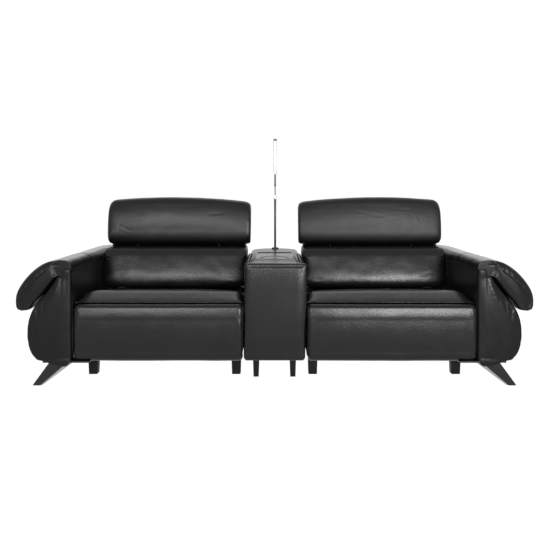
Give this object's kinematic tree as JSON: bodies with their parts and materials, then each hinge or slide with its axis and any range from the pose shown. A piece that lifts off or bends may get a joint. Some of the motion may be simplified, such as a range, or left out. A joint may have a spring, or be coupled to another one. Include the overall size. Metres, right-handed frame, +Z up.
{
  "type": "reclining sofa",
  "caption": "Black leather reclining sofa: power recliner seats beside a storage console with a slim reading lamp, padded folding arm wings, and splayed metal legs.",
  "frame": {"origin": "middle of the sofa's width and depth, on the floor", "axes": "+X to the sofa's own left as it faces you from the front view's right, +Y to the back, +Z up; the seats face -Y"},
  "size_m": [2.666, 1.024, 1.337],
  "materials": {
    "leather": "semi-gloss pebbled black leather over foam",
    "frame_steel": "satin black powder coat",
    "leg_metal": "satin dark metal with a brighter bevel",
    "zinc_steel": "zinc-plated steel",
    "switch_metal": "satin chrome",
    "plywood": "raw plywood",
    "black_plastic": "moulded matt black plastic",
    "lamp_black": "satin black anodised tube",
    "diffuser": "opal white diffuser"
  },
  "bodies": {
    "chassis": {"base_frames": "frame_steel", "block_feet": "black_plastic", "slide_rails": "zinc_steel", "actuators": "black_plastic", "rear_panels": "leather", "arm_frames": "plywood", "left_arm_cover": "leather", "right_arm_cover": "leather", "splayed_legs": "leg_metal", "flap_brackets": "zinc_steel", "console_carcass": "plywood", "console_cover": "leather", "console_rear_block": "leather", "console_feet": "black_plastic", "ganging_straps": "frame_steel", "power_inlet": "black_plastic", "lid_hinge": "zinc_steel", "lamp_base": "black_plastic", "lamp_stem": "lamp_black", "lamp_collar": "switch_metal"},
    "console_lid": {"lid_board": "plywood", "lid_pad": "leather"},
    "lamp_arm": {"lamp_neck": "lamp_black"},
    "lamp_light": {"lamp_head": "lamp_black", "lamp_diffuser": "diffuser"},
    "left_seat": {"left_seat_frame": "plywood", "left_seat_brackets": "zinc_steel", "left_seat_runners": "zinc_steel", "left_seat_springs": "zinc_steel", "left_seat_cushion": "leather", "left_switch_bezel": "switch_metal"},
    "left_open_switch": {"left_open_button": "black_plastic"},
    "left_close_switch": {"left_close_button": "black_plastic"},
    "left_back": {"left_back_frame": "frame_steel", "left_back_cushion": "leather", "left_back_shell": "leather"},
    "left_head": {"left_head_bracket": "zinc_steel", "left_headrest": "leather"},
    "left_foot": {"left_foot_board": "plywood", "left_foot_pad": "leather"},
    "left_flap": {"left_flap_core": "plywood", "left_flap_pad": "leather"},
    "right_seat": {"right_seat_frame": "plywood", "right_seat_brackets": "zinc_steel", "right_seat_runners": "zinc_steel", "right_seat_springs": "zinc_steel", "right_seat_cushion": "leather", "right_switch_bezel": "switch_metal"},
    "right_open_switch": {"right_open_button": "black_plastic"},
    "right_close_switch": {"right_close_button": "black_plastic"},
    "right_back": {"right_back_frame": "frame_steel", "right_back_cushion": "leather", "right_back_shell": "leather"},
    "right_head": {"right_head_bracket": "zinc_steel", "right_headrest": "leather"},
    "right_foot": {"right_foot_board": "plywood", "right_foot_pad": "leather"},
    "right_flap": {"right_flap_core": "plywood", "right_flap_pad": "leather"}
  },
  "joints": [
    {"name": "left_seat_slide", "type": "slide", "parent": "chassis", "child": "left_seat", "axis": [0, -1, 0], "range_m": [0, 0.12]},
    {"name": "left_back_recline", "type": "hinge", "parent": "left_seat", "child": "left_back", "pos_m": [-0.6, 0.131, 0.395], "axis": [-1, 0, 0], "range_deg": [0, 28]},
    {"name": "left_head_tilt", "type": "hinge", "parent": "left_back", "child": "left_head", "pos_m": [-0.6, 0.2, 0.728], "axis": [1, 0, 0], "range_deg": [0, 40]},
    {"name": "left_foot_lift", "type": "hinge", "parent": "left_seat", "child": "left_foot", "pos_m": [-0.6, -0.474, 0.384], "axis": [-1, 0, 0], "range_deg": [0, 88]},
    {"name": "left_flap_fold", "type": "hinge", "parent": "chassis", "child": "left_flap", "pos_m": [-1.085, 0, 0.601], "axis": [0, 1, 0], "range_deg": [0, 60]},
    {"name": "left_open_press", "type": "slide", "parent": "left_seat", "child": "left_open_switch", "axis": [-1, 0, 0], "range_m": [0, 0.002], "stiffness_N_per_m": 400},
    {"name": "left_close_press", "type": "slide", "parent": "left_seat", "child": "left_close_switch", "axis": [-1, 0, 0], "range_m": [0, 0.002], "stiffness_N_per_m": 400},
    {"name": "right_seat_slide", "type": "slide", "parent": "chassis", "child": "right_seat", "axis": [0, -1, 0], "range_m": [0, 0.12]},
    {"name": "right_back_recline", "type": "hinge", "parent": "right_seat", "child": "right_back", "pos_m": [0.6, 0.131, 0.395], "axis": [-1, 0, 0], "range_deg": [0, 28]},
    {"name": "right_head_tilt", "type": "hinge", "parent": "right_back", "child": "right_head", "pos_m": [0.6, 0.2, 0.728], "axis": [1, 0, 0], "range_deg": [0, 40]},
    {"name": "right_foot_lift", "type": "hinge", "parent": "right_seat", "child": "right_foot", "pos_m": [0.6, -0.474, 0.384], "axis": [-1, 0, 0], "range_deg": [0, 88]},
    {"name": "right_flap_fold", "type": "hinge", "parent": "chassis", "child": "right_flap", "pos_m": [1.085, 0, 0.601], "axis": [0, -1, 0], "range_deg": [0, 60]},
    {"name": "right_open_press", "type": "slide", "parent": "right_seat", "child": "right_open_switch", "axis": [1, 0, 0], "range_m": [0, 0.002], "stiffness_N_per_m": 400},
    {"name": "right_close_press", "type": "slide", "parent": "right_seat", "child": "right_close_switch", "axis": [1, 0, 0], "range_m": [0, 0.002], "stiffness_N_per_m": 400},
    {"name": "lid_open", "type": "hinge", "parent": "chassis", "child": "console_lid", "pos_m": [0, 0.082, 0.63], "axis": [-1, 0, 0], "range_deg": [0, 95]},
    {"name": "lamp_swivel", "type": "hinge", "parent": "chassis", "child": "lamp_arm", "pos_m": [0.004, 0.334, 0.97], "axis": [0, 0, 1], "range_deg": [-170, 170]},
    {"name": "lamp_tilt", "type": "hinge", "parent": "lamp_arm", "child": "lamp_light", "pos_m": [0.004, 0.334, 1.041], "axis": [1, 0, 0], "range_deg": [0, 100]}
  ],
  "couplings": [
    {"joint": "left_foot_lift", "follows": "left_seat_slide", "rad_per_m": 12.79},
    {"joint": "right_foot_lift", "follows": "right_seat_slide", "rad_per_m": 12.79}
  ]
}
